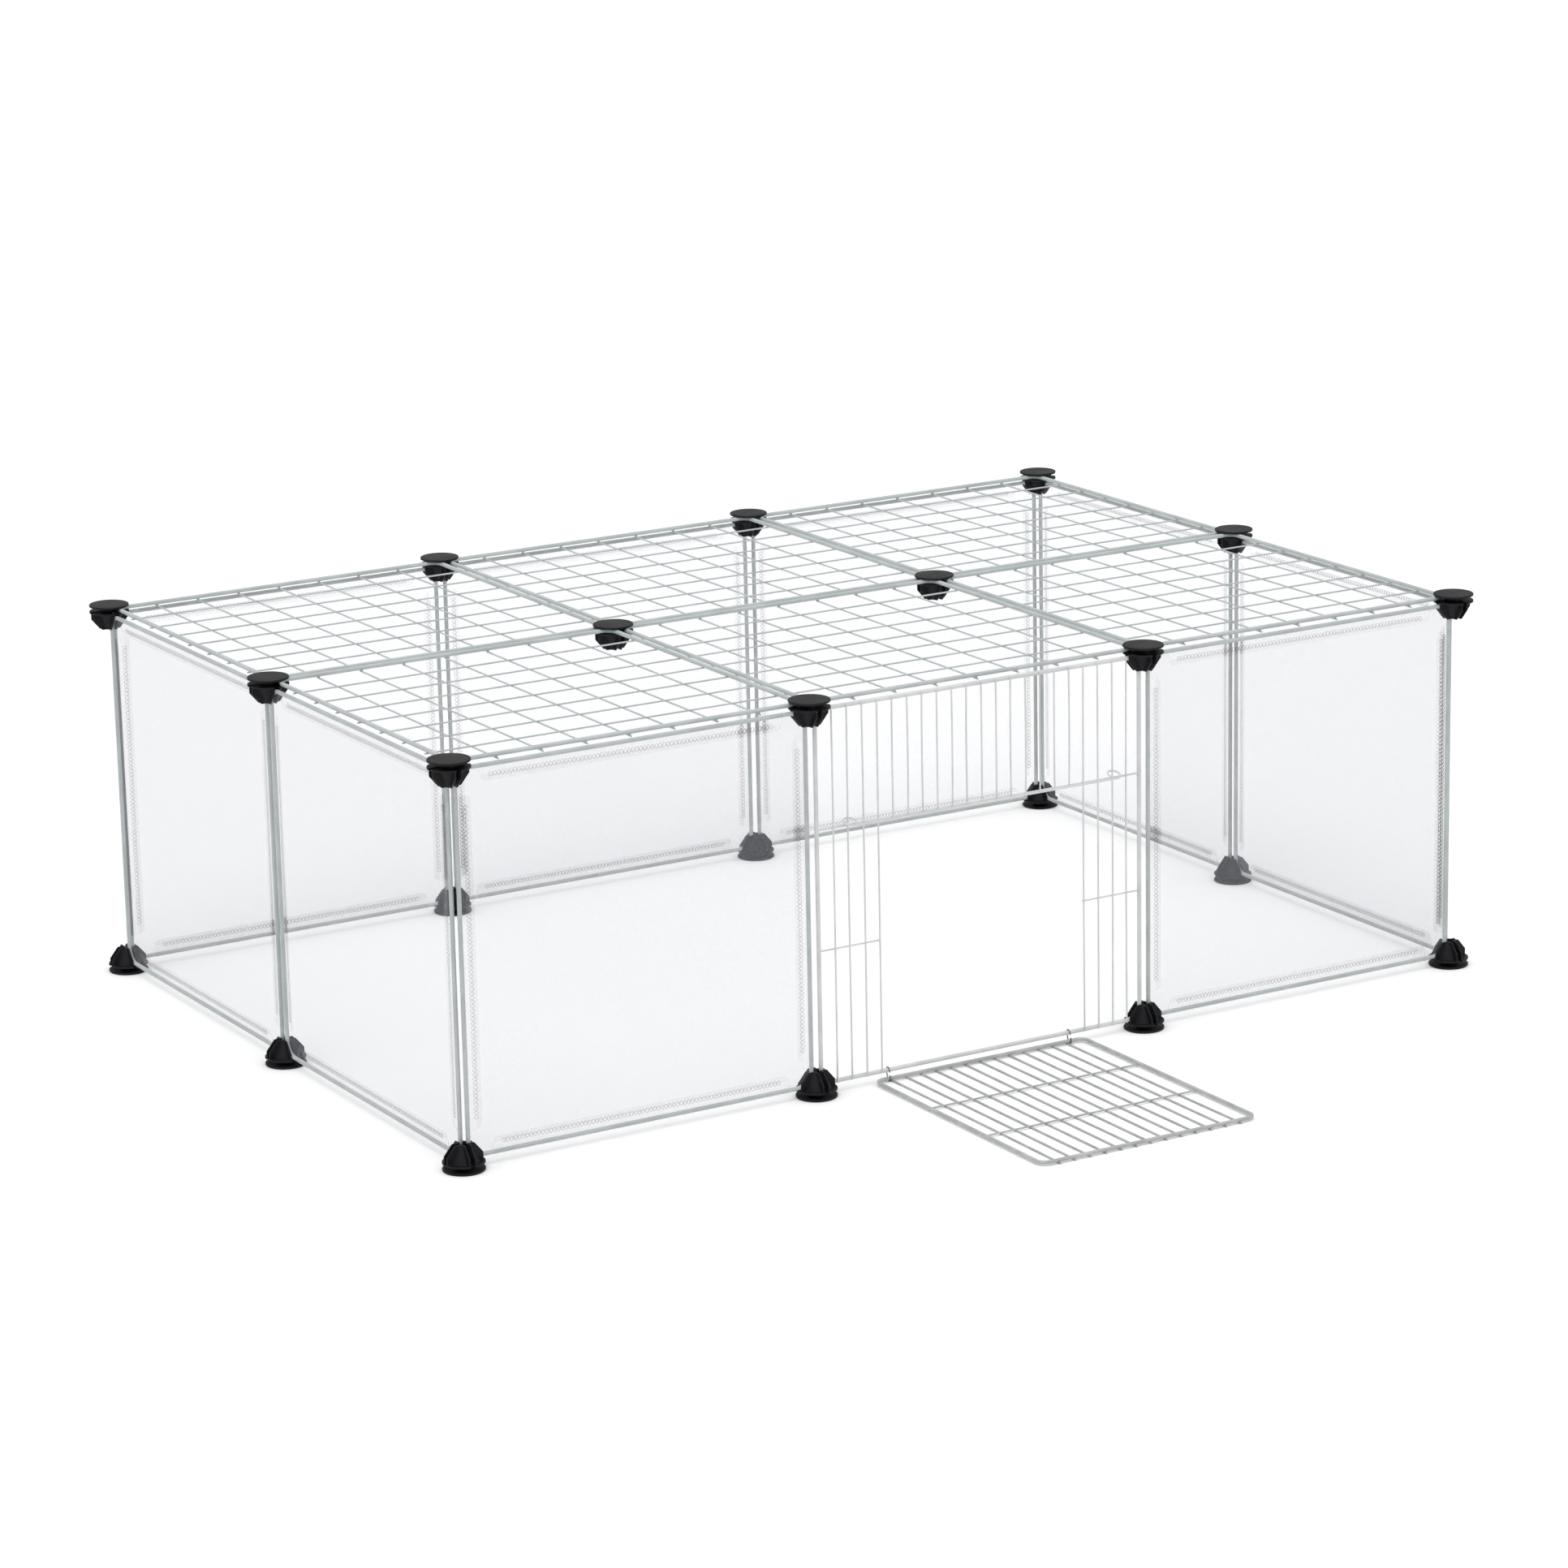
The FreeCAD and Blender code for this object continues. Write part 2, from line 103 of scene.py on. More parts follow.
def grid_quads(rows: int, columns: int, wrap_rows: bool = False, wrap_columns: bool = False) -> np.ndarray:
    """Return the quads between neighbouring points of a grid of rows by columns.

    Args:
        rows: Number of point rows.
        columns: Number of points in a row.
        wrap_rows: Whether the last row joins the first.
        wrap_columns: Whether the last column joins the first.

    Returns:
        An (m, 4) array of indices; a face turns from a row's direction to the rows' order.
    """
    row = np.arange(rows if wrap_rows else rows - 1)
    column = np.arange(columns if wrap_columns else columns - 1)
    low, left = (index.ravel() for index in np.meshgrid(row, column, indexing="ij"))
    high = (low + 1) % rows
    right = (left + 1) % columns
    corners = (low * columns + left, low * columns + right, high * columns + right, high * columns + left)
    return np.stack(corners, axis=1)


def tube(
    path: np.ndarray,
    radius: np.ndarray | float,
    side_axis: tuple[float, float, float],
    sides: int = 12,
    closed: bool = False,
) -> Surface:
    """Return a round tube along a path.

    Each point is the path's point plus the radius times (cos a * outward + sin a * lateral): the
    lateral is the side axis made square to the path's tangent, and the outward is square to both.

    Args:
        path: Centre line, an (n, 3) array.
        radius: Radius at each point of the path, or one for all.
        side_axis: Direction that is nowhere along the path.
        sides: Number of points round the tube.
        closed: Whether the path ends where it starts.

    Returns:
        The tube, closed by a flat face at each end of an open path.
    """
    following = np.roll(path, -1, axis=0)
    previous = np.roll(path, 1, axis=0)
    if not closed:
        following[-1] = path[-1]
        previous[0] = path[0]
    tangent = unit(following - previous)
    axis = np.asarray(side_axis, float)
    lateral = unit(axis - (tangent @ axis)[:, None] * tangent)
    outward = np.cross(lateral, tangent)
    angle = np.linspace(0, 2 * math.pi, sides, endpoint=False)[None, :, None]
    ring = np.cos(angle) * outward[:, None, :] + np.sin(angle) * lateral[:, None, :]
    reach = np.broadcast_to(np.asarray(radius, float), len(path))[:, None, None]
    points = (path[:, None, :] + reach * ring).reshape(-1, 3)
    faces = [grid_quads(len(path), sides, wrap_rows=closed, wrap_columns=True)]
    if not closed:
        first = np.arange(sides)
        faces.append(np.stack([first[::-1], first + (len(path) - 1) * sides]))
    return Surface(points, tuple(faces))


def straight_wire(
    start: np.ndarray,
    end: np.ndarray,
    radius: float,
    side_axis: tuple[float, float, float],
    sides: int = 10,
    bow: float = 0.0,
    spans: int = 6,
) -> Surface:
    """Return a cut wire with rounded ends and a slight bow.

    The centre line is start + t * (end - start), moved along the side axis by bow times sin(pi t);
    near each end the radius follows a quarter round.

    Args:
        start: First end.
        end: Other end.
        radius: Wire radius.
        side_axis: Direction square to the wire in which it bows.
        sides: Number of points round the wire.
        bow: Largest distance from the straight line.
        spans: Number of lengths between the rounded ends.

    Returns:
        The wire's surface.
    """
    start, end = np.asarray(start, float), np.asarray(end, float)
    length = np.linalg.norm(end - start)
    round_over = radius * np.array([0.0, 0.15, 0.45, 1.0])
    shrink = np.array([0.5, 0.78, 0.95, 1.0])
    middle = np.linspace(round_over[-1], length - round_over[-1], spans + 1)[1:-1]
    along = np.concatenate([round_over, middle, length - round_over[::-1]]) / length
    reach = radius * np.concatenate([shrink, np.ones(len(middle)), shrink[::-1]])
    sideways = np.asarray(side_axis, float) * (bow * np.sin(math.pi * along))[:, None]
    return tube(start + along[:, None] * (end - start) + sideways, reach, side_axis, sides)


def rounded_rectangle(half_width: float, half_length: float, corner: float, steps: int = 10) -> np.ndarray:
    """Return the closed centre line of a rounded rectangle in the XY plane.

    Quarter k has its centre at (+-(half_width - corner), +-(half_length - corner)) and runs over the
    angles from k * 90 to (k + 1) * 90 degrees; the straight sides join the quarters.

    Args:
        half_width: Half the size along X.
        half_length: Half the size along Y.
        corner: Radius of the corners.
        steps: Number of points in a corner.

    Returns:
        The points as an (n, 3) array, counter-clockwise.
    """
    sign_x = np.array([1, -1, -1, 1])[:, None]
    sign_y = np.array([1, 1, -1, -1])[:, None]
    angle = (np.arange(4)[:, None] + np.linspace(0, 1, steps)[None, :]) * math.pi / 2
    x = sign_x * (half_width - corner) + corner * np.cos(angle)
    y = sign_y * (half_length - corner) + corner * np.sin(angle)
    return np.stack([x, y, np.zeros_like(x)], axis=-1).reshape(-1, 3)


def repeated(template: Surface, centres: np.ndarray) -> Surface:
    """Return copies of a small surface.

    Args:
        template: The surface, about the origin.
        centres: Where the copies go, an (n, 3) array: each copy is the template plus its centre.

    Returns:
        All the copies as one surface.
    """
    points = (centres[:, None, :] + template.points[None, :, :]).reshape(-1, 3)
    offset = np.arange(len(centres))[:, None, None] * len(template.points)
    faces = tuple((face[None] + offset).reshape(-1, face.shape[1]) for face in template.faces)
    return Surface(points, faces, template.finish)


def bead(radii: tuple[float, float, float], finish: int = 0, around: int = 8) -> Surface:
    """Return a weld bead about the origin: an ellipsoid of three rings of points and two poles.

    A ring's points are radii * (cos b cos a, cos b sin a, sin b) at the latitudes b of -50, 0 and 50
    degrees.

    Args:
        radii: Half sizes along X, Y and Z.
        finish: Index of the material.
        around: Number of points in a ring.

    Returns:
        The closed bead.
    """
    latitude = np.radians([-50.0, 0.0, 50.0])[:, None]
    turn = np.linspace(0, 2 * math.pi, around, endpoint=False)[None, :]
    rings = np.stack([
        np.cos(latitude) * np.cos(turn), np.cos(latitude) * np.sin(turn), np.sin(latitude) + 0 * turn,
    ], axis=-1).reshape(-1, 3)
    points = np.concatenate([rings, [[0, 0, -1.0], [0, 0, 1.0]]]) * np.asarray(radii)
    first = np.arange(around)
    after = (first + 1) % around
    low_fan = np.stack([np.full(around, len(rings)), after, first], axis=1)
    top = 2 * around
    high_fan = np.stack([np.full(around, len(rings) + 1), top + first, top + after], axis=1)
    fans = np.concatenate([low_fan, high_fan])
    return Surface(points, (grid_quads(3, around, wrap_columns=True), fans), finish)


def lathe(profile: np.ndarray, steps: int = 64) -> Surface:
    """Return a profile of (radius, height) turned about Z: (r cos a, r sin a, h).

    Args:
        profile: Points from the axis at the low end to the axis at the high end; the two points on
            the axis become one pole each.
        steps: Number of points round the axis.

    Returns:
        The closed surface.
    """
    turn = np.linspace(0, 2 * math.pi, steps, endpoint=False)
    body = profile[1:-1]
    x = body[:, :1] * np.cos(turn)
    y = body[:, :1] * np.sin(turn)
    points = np.stack([x, y, np.broadcast_to(body[:, 1:], x.shape)], axis=-1).reshape(-1, 3)
    poles = np.array([[0, 0, profile[0, 1]], [0, 0, profile[-1, 1]]])
    first = np.arange(steps)
    after = (first + 1) % steps
    last = (len(body) - 1) * steps
    low_fan = np.stack([np.full(steps, len(points)), after, first], axis=1)
    high_fan = np.stack([np.full(steps, len(points) + 1), last + first, last + after], axis=1)
    quads = grid_quads(len(body), steps, wrap_columns=True)
    return Surface(np.concatenate([points, poles]), (quads, np.concatenate([low_fan, high_fan])))


def quarter_turned(surface: Surface, quarters: int) -> Surface:
    """Return a surface turned about Z.

    Args:
        surface: The surface to turn.
        quarters: Number of right angles, counter-clockwise.

    Returns:
        The turned copy.
    """
    cosine, sine = ((1, 0), (0, 1), (-1, 0), (0, -1))[quarters % 4]
    turn = np.array([[cosine, sine, 0], [-sine, cosine, 0], [0, 0, 1]], float)
    return Surface(surface.points @ turn, surface.faces, surface.finish)


def make_piece(
    name: str,
    surfaces: list[Surface],
    materials: list[bpy.types.Material],
    node: str,
) -> bpy.types.Object:
    """Make one mesh object from surfaces, and let it stand for a node of the frame.

    Args:
        name: Name of the new piece.
        surfaces: The parts of the mesh, in world coordinates.
        materials: The piece's materials, in the order of the surfaces' finish indices.
        node: The node that it stands for; it rides on that node's body.

    Returns:
        The new object.
    """
    counts = np.cumsum([0] + [len(surface.points) for surface in surfaces])
    loops, totals, finishes = [], [], []
    for surface, offset in zip(surfaces, counts):
        for face in surface.faces:
            loops.append((face + offset).ravel())
            totals.append(np.full(len(face), face.shape[1]))
            finishes.append(np.full(len(face), surface.finish))
    total = np.concatenate(totals)
    mesh = bpy.data.meshes.new(name)
    mesh.vertices.add(int(counts[-1]))
    mesh.vertices.foreach_set("co", np.concatenate([s.points for s in surfaces]).astype(np.float32).ravel())
    mesh.loops.add(int(total.sum()))
    mesh.loops.foreach_set("vertex_index", np.concatenate(loops).astype(np.int32))
    mesh.polygons.add(len(total))
    mesh.polygons.foreach_set("loop_start", (np.cumsum(total) - total).astype(np.int32))
    mesh.polygons.foreach_set("material_index", np.concatenate(finishes).astype(np.int32))
    mesh.update(calc_edges=True)
    for material in materials:
        mesh.materials.append(material)
    mesh.shade_smooth()
    mesh.set_sharp_from_angle(angle=SHARP_ANGLE)
    piece = bpy.data.objects.new(name, mesh)
    bpy.context.scene.collection.objects.link(piece)
    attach(piece, NODE_BODY[node])
    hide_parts(node)
    log.info("%s stands for %s on %s: %d faces", name, node, NODE_BODY[node], len(total))
    return piece


def node_box(node: str) -> tuple[np.ndarray, np.ndarray]:
    """Return the lowest and the highest corner of a frame node as arrays."""
    low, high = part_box(node)
    return np.array(low), np.array(high)


def upright_place(node: str, pen_middle: np.ndarray) -> Place:
    """Return the frame of a standing panel: X along it, Y up, Z outwards from the pen.

    Args:
        node: The panel's node.
        pen_middle: Middle of the pen in plan.

    Returns:
        The panel's local frame, with its origin in the middle of the box's thin direction and of
        its square face.
    """
    low, high = node_box(node)
    middle = (low + high) / 2
    thin = int(np.argmin((high - low)[:2]))
    outwards = np.zeros(3)
    outwards[thin] = math.copysign(1.0, middle[thin] - pen_middle[thin])
    up = np.array([0.0, 0.0, 1.0])
    return Place(middle, np.stack([np.cross(up, outwards), up, outwards]))


# ---------------------------------------------------------------------------------------------
# Finishes
# ---------------------------------------------------------------------------------------------


class Pattern(Enum):
    """Shader node groups that the materials share."""

    MOTTLE = "mottle"
    GRAIN = "grain"


def new_group(
    name: str, inputs: list[tuple[str, str, object]], outputs: list[tuple[str, str]]
) -> bpy.types.NodeTree:
    """Return an empty shader node group with its sockets made.

    Args:
        name: Group name.
        inputs: Name, socket type and default value of each input.
        outputs: Name and socket type of each output.

    Returns:
        The new group.
    """
    group = bpy.data.node_groups.new(name, "ShaderNodeTree")
    for label, kind, value in inputs:
        socket = group.interface.new_socket(name=label, in_out="INPUT", socket_type=kind)
        if value is not None:
            socket.default_value = value
    for label, kind in outputs:
        group.interface.new_socket(name=label, in_out="OUTPUT", socket_type=kind)
    return group


def connect(tree: bpy.types.NodeTree, rows: list[tuple[bpy.types.Node, str, bpy.types.Node, str]]) -> None:
    """Link nodes of a tree.

    Args:
        tree: The node tree.
        rows: For each link a node, the name of its output, the next node and the name of its input.
    """
    for source, output, target, entry in rows:
        tree.links.new(source.outputs[output], target.inputs[entry])


def mottle_group() -> bpy.types.NodeTree:
    """Return the group that mixes two colours and two roughnesses by a soft uneven pattern."""
    group = new_group(
        Pattern.MOTTLE.value,
        [
            ("Vector", "NodeSocketVector", None),
            ("Scale", "NodeSocketFloat", 40.0),
            ("Low", "NodeSocketFloat", 0.35),
            ("High", "NodeSocketFloat", 0.65),
            ("Color A", "NodeSocketColor", (0.5, 0.5, 0.5, 1)),
            ("Color B", "NodeSocketColor", (0.6, 0.6, 0.6, 1)),
            ("Value A", "NodeSocketFloat", 0.4),
            ("Value B", "NodeSocketFloat", 0.5),
        ],
        [("Color", "NodeSocketColor"), ("Value", "NodeSocketFloat")],
    )
    nodes = group.nodes
    given = nodes.new("NodeGroupInput")
    result = nodes.new("NodeGroupOutput")
    noise = nodes.new("ShaderNodeTexNoise")
    noise.inputs["Detail"].default_value = 4.0
    ramp = nodes.new("ShaderNodeMapRange")
    ramp.interpolation_type = "SMOOTHSTEP"
    colour = nodes.new("ShaderNodeMix")
    colour.data_type = "RGBA"
    value = nodes.new("ShaderNodeMix")
    connect(group, [
        (given, "Vector", noise, "Vector"),
        (given, "Scale", noise, "Scale"),
        (noise, "Fac", ramp, "Value"),
        (given, "Low", ramp, "From Min"),
        (given, "High", ramp, "From Max"),
        (ramp, "Result", colour, "Factor"),
        (given, "Color A", colour, "A"),
        (given, "Color B", colour, "B"),
        (ramp, "Result", value, "Factor"),
        (given, "Value A", value, "A"),
        (given, "Value B", value, "B"),
        (colour, "Result", result, "Color"),
        (value, "Result", result, "Value"),
    ])
    return group


def grain_group() -> bpy.types.NodeTree:
    """Return the group that turns a fine noise of a given scale and depth into a normal."""
    group = new_group(
        Pattern.GRAIN.value,
        [
            ("Vector", "NodeSocketVector", None),
            ("Scale", "NodeSocketFloat", 800.0),
            ("Strength", "NodeSocketFloat", 0.2),
            ("Depth", "NodeSocketFloat", 0.0001),
        ],
        [("Normal", "NodeSocketVector")],
    )
    nodes = group.nodes
    given = nodes.new("NodeGroupInput")
    result = nodes.new("NodeGroupOutput")
    noise = nodes.new("ShaderNodeTexNoise")
    noise.inputs["Detail"].default_value = 3.0
    bump = nodes.new("ShaderNodeBump")
    connect(group, [
        (given, "Vector", noise, "Vector"),
        (given, "Scale", noise, "Scale"),
        (given, "Strength", bump, "Strength"),
        (given, "Depth", bump, "Distance"),
        (noise, "Fac", bump, "Height"),
        (bump, "Normal", result, "Normal"),
    ])
    return group


def place_group(nodes: bpy.types.Nodes, pattern: Pattern, values: dict[str, object]) -> bpy.types.Node:
    """Put a shared group in a material with its own input values.

    Args:
        nodes: The material's nodes.
        pattern: Which group.
        values: Value of each input that differs from the default.

    Returns:
        The group node.
    """
    node = nodes.new("ShaderNodeGroup")
    node.node_tree = bpy.data.node_groups[pattern.value]
    for name, value in values.items():
        node.inputs[name].default_value = value
    return node


@dataclass(frozen=True)
class Finish:
    """A surface finish: two mottled colours and roughnesses over a fine grain.

    alpha holds the opacity where the mottle is low and where it is high.
    """

    name: str
    colour: tuple[float, float, float]
    other_colour: tuple[float, float, float]
    roughness: tuple[float, float]
    mottle_scale: float
    grain_scale: float
    grain_depth: float
    grain_strength: float = 0.25
    metallic: float = 0.0
    coat: float = 0.0
    specular: float = 0.5
    alpha: tuple[float, float] | None = None

    def material(self) -> bpy.types.Material:
        """Build the finish's material from the shared groups and its own values."""
        material = bpy.data.materials.new(self.name)
        material.use_nodes = True
        nodes = material.node_tree.nodes
        shader = nodes["Principled BSDF"]
        shader.inputs["Metallic"].default_value = self.metallic
        shader.inputs["Coat Weight"].default_value = self.coat
        shader.inputs["Specular IOR Level"].default_value = self.specular
        where = nodes.new("ShaderNodeTexCoord")
        mottle = place_group(nodes, Pattern.MOTTLE, {
            "Scale": self.mottle_scale,
            "Color A": (*self.colour, 1.0),
            "Color B": (*self.other_colour, 1.0),
            "Value A": self.roughness[0],
            "Value B": self.roughness[1],
        })
        grain = place_group(nodes, Pattern.GRAIN, {
            "Scale": self.grain_scale,
            "Depth": self.grain_depth,
            "Strength": self.grain_strength,
        })
        connect(material.node_tree, [
            (where, "Object", mottle, "Vector"),
            (where, "Object", grain, "Vector"),
            (mottle, "Color", shader, "Base Color"),
            (mottle, "Value", shader, "Roughness"),
            (grain, "Normal", shader, "Normal"),
        ])
        if self.alpha is not None:
            haze = place_group(nodes, Pattern.MOTTLE, {
                "Scale": self.grain_scale,
                "Value A": self.alpha[0],
                "Value B": self.alpha[1],
            })
            connect(material.node_tree, [(where, "Object", haze, "Vector"), (haze, "Value", shader, "Alpha")])
        return material


GREY_COAT = Finish("grey_powder_coat", (0.40, 0.435, 0.435), (0.46, 0.50, 0.495), (0.30, 0.42),
                   35.0, 1500.0, 0.00006, 0.35, coat=0.1)
WHITE_COAT = Finish("white_powder_coat", (0.55, 0.56, 0.56), (0.62, 0.625, 0.625), (0.30, 0.42),
                    35.0, 1500.0, 0.00006, 0.35, coat=0.1)
# Painted shade: the door leaf takes a darker copy of the white powder coat, so that it looks shaded as it
# lies open on the floor.
SHADED_DOOR_COAT = Finish("shaded_white_powder_coat", (0.35, 0.36, 0.36), (0.44, 0.45, 0.45), (0.32, 0.46),
                   55.0, 1500.0, 0.00006, 0.4, coat=0.1)
WELD_COAT = Finish("coated_weld", (0.20, 0.205, 0.21), (0.32, 0.325, 0.33), (0.40, 0.55),
                   260.0, 1500.0, 0.00012, 0.5)
BRIGHT_WIRE = Finish("plated_wire", (0.11, 0.113, 0.12), (0.26, 0.26, 0.27), (0.22, 0.34),
                     220.0, 2400.0, 0.00004, 0.35, metallic=0.8)
BLACK_PLASTIC = Finish("black_moulded_plastic", (0.006, 0.006, 0.0075), (0.009, 0.009, 0.011), (0.46, 0.56),
                       30.0, 2600.0, 0.00005, 0.3, specular=0.18)
FROSTED_FILM = Finish("frosted_film", (0.455, 0.47, 0.52), (0.475, 0.49, 0.54), (0.38, 0.5),
                      6.0, 420.0, 0.00008, 0.2, alpha=(0.100, 0.112))
FOLDED_FILM = Finish("folded_film", (0.49, 0.50, 0.53), (0.52, 0.53, 0.56), (0.34, 0.46),
                     12.0, 420.0, 0.00008, 0.2, alpha=(0.045, 0.06))
WELDED_FILM = Finish("welded_film", (0.36, 0.355, 0.38), (0.42, 0.41, 0.43), (0.25, 0.35),
                     300.0, 900.0, 0.00005, 0.2, alpha=(0.26, 0.34))


# ---------------------------------------------------------------------------------------------
# Sub-assemblies
# ---------------------------------------------------------------------------------------------


@dataclass(frozen=True)
class Connector:
    """Moulded connector: a disc and a post, and four lobes between the slots for the walls.

    Heights are measured from the disc's outer face.
    """

    disc_radius: float
    height: float
    disc_height: float = 0.0020
    edge_round: float = 0.0007
    post_radius: float = 0.0080
    lobe_start: float = 0.0065
    flange_end: float = 0.0080
    fin_shoulder: float = 0.0140
    fin_radius: float = 0.0176
    fin_tip: float = 0.0092
    fin_thickness: float = 0.0014
    web_radius: float = 0.0135
    web_tip: float = 0.0064
    slot_width: float = 0.0042
    mould_line: float = 0.00025
    mould_line_angle: float = 0.06
    inner_round: float = 0.0003
    edge_bevel: float = 0.00022
    section_points: int = 16

    def disc(self) -> Surface:
        """Return the disc with its round edge, and the post that ends inside the lobes."""
        turn = np.linspace(-math.pi / 2, 0, 6)
        edge = np.stack([
            self.disc_radius - self.edge_round + self.edge_round * np.cos(turn),
            self.edge_round + self.edge_round * np.sin(turn),
        ], axis=1)
        under = self.inner_round
        profile = np.concatenate([
            [[0, 0], [self.disc_radius * 0.5, 0]],
            edge,
            [[self.disc_radius, self.disc_height - under], [self.disc_radius - under, self.disc_height],
             [self.post_radius + under, self.disc_height], [self.post_radius, self.disc_height + under],
             [self.post_radius, self.lobe_start + under], [0, self.lobe_start + under]],
        ])
        return lathe(profile)

    def outline(self, fin: float, web: float, sector: bool) -> np.ndarray:
        """Return one lobe's section in the first quadrant.

        It runs along the slot's side out to the fin's edge, back to the web, over the web's arc
        r = web + ridge at 45 degrees, and the same in mirror image; a sector is filled to its arc.

        Args:
            fin: Distance from the axis to the fins' edges.
            web: Radius of the web.
            sector: Whether the section is a plain sector of radius fin.

        Returns:
            A closed outline as an (n, 2) array, counter-clockwise.
        """
        half = self.slot_width / 2
        back = half + self.fin_thickness
        start = math.asin(half / fin)
        root = math.asin(back / web)
        arc = np.linspace(root, math.pi / 2 - root, self.section_points - 5)
        if sector:
            arc = np.linspace(start, math.pi / 2 - start, self.section_points - 1)
            rim = fin * np.stack([np.cos(arc), np.sin(arc)], axis=1)
            return np.concatenate([[[half, half]], rim])
        radius = web + self.mould_line * np.exp(-(((arc - math.pi / 4) / self.mould_line_angle) ** 2))
        ridge = np.stack([radius * np.cos(arc), radius * np.sin(arc)], axis=1)
        return np.concatenate([
            [[half, half], [fin, half], [fin, back]],
            ridge,
            [[back, fin], [half, fin]],
        ])

    def lobe(self) -> Surface:
        """Return one lobe: its sections at rising heights, joined, with a face at each end."""
        count = self.section_points
        levels = [
            (self.lobe_start, self.disc_radius, self.web_radius, True),
            (self.flange_end, self.disc_radius, self.web_radius, True),
            (self.flange_end, self.fin_radius, self.web_radius, False),
            (self.fin_shoulder, self.fin_radius, self.web_at(self.fin_shoulder), False),
            (self.height, self.fin_tip, self.web_tip, False),
        ]
        sections = [
            np.column_stack([self.outline(fin, web, sector), np.full(count, level)])
            for level, fin, web, sector in levels
        ]
        points = np.concatenate(sections)
        first = np.arange(count)
        caps = np.stack([first[::-1], first + count * (len(levels) - 1)])
        return Surface(points, (grid_quads(len(levels), count, wrap_columns=True), caps))

    def web_at(self, level: float) -> float:
        """Return the web's radius at a height: it narrows evenly from the flange to the tip."""
        share = (level - self.flange_end) / (self.height - self.flange_end)
        return self.web_radius + share * (self.web_tip - self.web_radius)

    def build(self, node: str, name: str, material: bpy.types.Material) -> bpy.types.Object:
        """Build the connector where its node is, disc upwards for a top one.

        Args:
            node: The frame node that it stands for.
            name: Name of the new piece.
            material: The plastic.

        Returns:
            The new piece.
        """
        low, high = node_box(node)
        axis = (low + high) / 2
        lobes = [quarter_turned(self.lobe(), quarter) for quarter in range(4)]
        up = low[2] < 0.5 * self.height
        axes = np.diag([1.0, 1.0, 1.0]) if up else np.diag([1.0, -1.0, -1.0])
        place = Place(np.array([axis[0], axis[1], low[2] if up else high[2]]), axes)
        piece = make_piece(name, [place.put(part) for part in (self.disc(), *lobes)], [material], node)
        bevel = piece.modifiers.new("soft_edges", "BEVEL")
        bevel.width = self.edge_bevel
        bevel.segments = 2
        bevel.limit_method = "ANGLE"
        bevel.angle_limit = SHARP_ANGLE
        return piece


@dataclass(frozen=True)
class WireFrame:
    """The closed frame wire of a square panel, butt-welded in the middle of one side."""

    half: float
    radius: float = 0.0020
    corner: float = 0.0150
    weld_half: float = 0.0024
    weld_swell: float = 1.12

    def ring(self) -> list[Surface]:
        """Return the frame wire and its butt weld in local coordinates."""
        path = rounded_rectangle(self.half, self.half, self.corner)
        weld = bead((self.weld_half, self.radius * self.weld_swell, self.radius * self.weld_swell))
        centre = np.array([[0.0, -self.half, 0.0]])
        wire = tube(path, self.radius, (0, 0, 1), sides=FRAME_WIRE_SIDES, closed=True)
        return [wire, repeated(weld, centre)]


@dataclass(frozen=True)
class RoofGrid:
    """Roof grid: a frame wire with a mesh of thin wires welded under it."""

    half: float
    cells: int = 8
    thin: float = 0.0008
    sink: float = 0.0004
    overhang: float = 0.0013
    sag: float = 0.0005
    crossing_weld: tuple[float, float, float] = (0.00105, 0.00105, 0.0007)
    upper_weld: tuple[float, float, float] = (0.0012, 0.0011, 0.0008)
    lower_weld: tuple[float, float, float] = (0.0011, 0.0012, 0.0013)

    def surfaces(self) -> list[Surface]:
        """Return the grid's surfaces in local coordinates, the frame wire's plane at zero.

        Wire i of each layer bows by sag * sin(1.7 i + 0.6), the two layers to opposite sides.
        """
        outline = WireFrame(self.half)
        parts = outline.ring()
        reach = self.half + outline.radius + self.overhang
        upper = self.sink - outline.radius - self.thin
        lower = upper - 2 * self.thin + 1.25 * self.sink
        places = 2 * self.half * (np.arange(1, self.cells) / self.cells - 0.5)
        for index, across in enumerate(places):
            bow = self.sag * math.sin(1.7 * index + 0.6)
            start, end = (-reach, across, upper), (reach, across, upper)
            parts.append(straight_wire(start, end, self.thin, (0, 1, 0), bow=bow))
            start, end = (across, -reach, lower), (across, reach, lower)
            parts.append(straight_wire(start, end, self.thin, (1, 0, 0), bow=-bow))
        crossing = np.stack(np.meshgrid(places, places, indexing="ij"), axis=-1).reshape(-1, 2)
        middle = np.column_stack([crossing, np.full(len(crossing), (upper + lower) / 2)])
        parts.append(repeated(bead(self.crossing_weld, finish=1), middle))
        rim = upper + 0.5 * self.thin
        for side in (-self.half, self.half):
            ends_x = np.column_stack([np.full(len(places), side), places, np.full(len(places), rim)])
            ends_y = np.column_stack([places, np.full(len(places), side), np.full(len(places), rim)])
            parts.append(repeated(bead(self.upper_weld), ends_x))
            parts.append(repeated(bead(self.lower_weld), ends_y))
        return parts

    def build(self, node: str, name: str, materials: list[bpy.types.Material]) -> bpy.types.Object:
        """Build the grid where its node is.

        Args:
            node: The grid's node.
            name: Name of the new piece.
            materials: The coat and the coated weld.

        Returns:
            The new piece.
        """
        low, high = node_box(node)
        origin = np.array([*((low + high) / 2)[:2], high[2] - WireFrame(self.half).radius])
        place = Place(origin, np.eye(3))
        return make_piece(name, [place.put(part) for part in self.surfaces()], materials, node)


